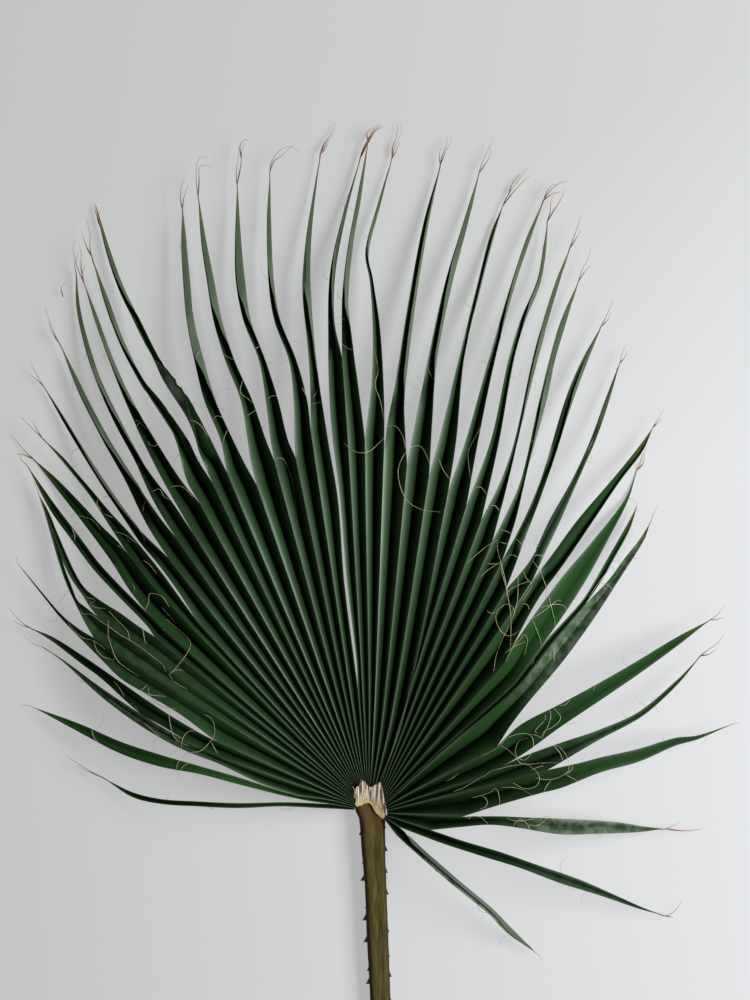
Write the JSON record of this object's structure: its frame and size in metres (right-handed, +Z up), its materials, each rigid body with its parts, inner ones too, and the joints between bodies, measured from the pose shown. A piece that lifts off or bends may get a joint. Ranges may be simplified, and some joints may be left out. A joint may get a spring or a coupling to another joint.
{
  "type": "fan palm leaf",
  "caption": "Dried fan palm leaf: a pleated blade split into long pointed segments, on a spiny leaf stalk with a papery crown at the joint.",
  "frame": {"origin": "flat spot under the hub, where the stalk meets the blade, on the surface that the leaf lies on", "axes": "+Z up out of the leaf's upper side, +Y from the stalk towards the middle of the blade, +X to the right seen from above"},
  "size_m": [0.718, 0.977, 0.0473],
  "materials": {
    "leaf_green": "satin dark green, pale along the folds",
    "stalk_brown": "smooth olive brown with a waxy gloss",
    "crown_tan": "dry and papery"
  },
  "bodies": {
    "root": {"blade": "leaf_green", "petiole": "stalk_brown", "hastula": "crown_tan"}
  },
  "joints": []
}
